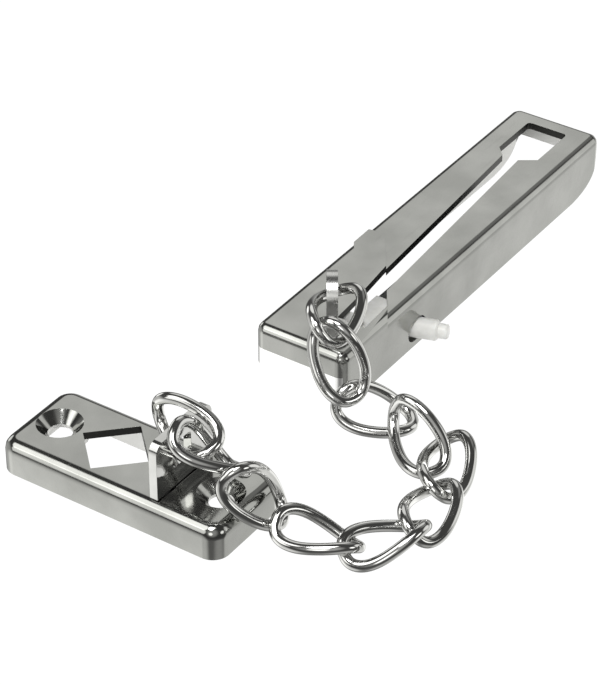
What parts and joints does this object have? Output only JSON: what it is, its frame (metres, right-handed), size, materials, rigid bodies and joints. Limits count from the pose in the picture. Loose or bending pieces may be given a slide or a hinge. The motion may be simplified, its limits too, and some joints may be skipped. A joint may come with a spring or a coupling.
{
  "type": "door chain guard",
  "caption": "Door chain guard: a slotted door plate with a sliding eye, a sprung push-button catch, a twisted-link chain and a lugged plate for the door frame.",
  "frame": {"origin": "centre of the door plate's footprint, on the door's face", "axes": "+X along the door plate from its locked end to its entry opening, +Z away from the door"},
  "size_m": [0.1722, 0.0926, 0.0294],
  "materials": {
    "chrome_plate": "bright chrome plate on pressed steel",
    "chrome_chain": "bright chrome plate on welded steel wire",
    "zinc_steel": "dull zinc plate",
    "spring_steel": "drawn spring wire",
    "white_plastic": "moulded, slightly translucent white"
  },
  "bodies": {
    "door_side": {"door_plate": "chrome_plate", "fixing_strip": "zinc_steel", "catch_pivot": "zinc_steel", "catch_spring": "spring_steel"},
    "catch": {"catch_lever": "white_plastic"},
    "slider": {"sliding_foot": "zinc_steel"},
    "eye": {"swivel_eye": "chrome_plate"},
    "link_01": {"chain_link_01": "chrome_chain"},
    "link_02": {"chain_link_02": "chrome_chain"},
    "link_03": {"chain_link_03": "chrome_chain"},
    "link_04": {"chain_link_04": "chrome_chain"},
    "link_05": {"chain_link_05": "chrome_chain"},
    "link_06": {"chain_link_06": "chrome_chain"},
    "link_07": {"chain_link_07": "chrome_chain"},
    "link_08": {"chain_link_08": "chrome_chain"},
    "link_09": {"chain_link_09": "chrome_chain"},
    "link_10": {"chain_link_10": "chrome_chain"},
    "link_11": {"chain_link_11": "chrome_chain"},
    "frame_side": {"frame_plate": "chrome_plate", "chain_lug": "chrome_plate"}
  },
  "joints": [
    {"name": "catch_turn", "type": "hinge", "parent": "door_side", "child": "catch", "pos_m": [-0.0172, -0.0077, 0.005], "axis": [0, 0, -1], "range_deg": [0, 14], "stiffness_Nm_per_rad": 0.03, "springref_deg": -17.19, "deforming": ["catch_spring"]},
    {"name": "slider_travel", "type": "slide", "parent": "door_side", "child": "slider", "axis": [0.9982, 0.0607, 0], "range_m": [0, 0.003]},
    {"name": "eye_swivel", "type": "hinge", "parent": "slider", "child": "eye", "pos_m": [-0.0503, -0.00446, 0.012], "axis": [0, 0, 1], "range_deg": [-15, 15]},
    {"name": "link_01_swing", "type": "hinge", "parent": "eye", "child": "link_01", "pos_m": [-0.0503, -0.00446, 0.0242], "axis": [0.5606, -0.8281, 0], "range_deg": [-12, 12]},
    {"name": "link_02_swing", "type": "hinge", "parent": "link_01", "child": "link_02", "pos_m": [-0.06465, -0.01155, 0.02419], "axis": [0.0092, 0.8576, -0.5142], "range_deg": [-5, 15]},
    {"name": "link_03_swing", "type": "hinge", "parent": "link_02", "child": "link_03", "pos_m": [-0.06428, -0.01901, 0.01015], "axis": [-0.9367, 0.3482, -0.037], "range_deg": [-18, 5]},
    {"name": "link_04_swing", "type": "hinge", "parent": "link_03", "child": "link_04", "pos_m": [-0.05359, -0.02783, 0.00177], "axis": [0.0505, 0.4282, -0.9023], "range_deg": [-20, 20]},
    {"name": "link_05_swing", "type": "hinge", "parent": "link_04", "child": "link_05", "pos_m": [-0.06712, -0.04178, 0.00248], "axis": [-0.8422, 0.5199, -0.1429], "range_deg": [-5, 25]},
    {"name": "link_06_swing", "type": "hinge", "parent": "link_05", "child": "link_06", "pos_m": [-0.07465, -0.04776, 0.00397], "axis": [0.3612, -0.6789, -0.6393], "range_deg": [-25, 20]},
    {"name": "link_07_swing", "type": "hinge", "parent": "link_06", "child": "link_07", "pos_m": [-0.08917, -0.0509, 0.00404], "axis": [0, 0, 1], "range_deg": [-20, 20]},
    {"name": "link_08_swing", "type": "hinge", "parent": "link_07", "child": "link_08", "pos_m": [-0.10049, -0.0409, 0.0024], "axis": [0, 0, 1], "range_deg": [-18, 10]},
    {"name": "link_09_swing", "type": "hinge", "parent": "link_08", "child": "link_09", "pos_m": [-0.10467, -0.02697, 0.0073], "axis": [-0.8086, -0.2333, -0.5401], "range_deg": [-25, 25]},
    {"name": "link_10_swing", "type": "hinge", "parent": "link_09", "child": "link_10", "pos_m": [-0.10848, -0.01788, 0.01761], "axis": [0.3684, 0.7841, -0.4995], "range_deg": [-14, 25]},
    {"name": "link_11_swing", "type": "hinge", "parent": "link_10", "child": "link_11", "pos_m": [-0.10876, -0.00488, 0.0237], "axis": [0, 0, -1], "range_deg": [-15, 3]},
    {"name": "frame_side_swing", "type": "hinge", "parent": "link_11", "child": "frame_side", "pos_m": [-0.10554, -0.00267, 0.01552], "axis": [0, 0, 1], "range_deg": [-7, 8]}
  ]
}
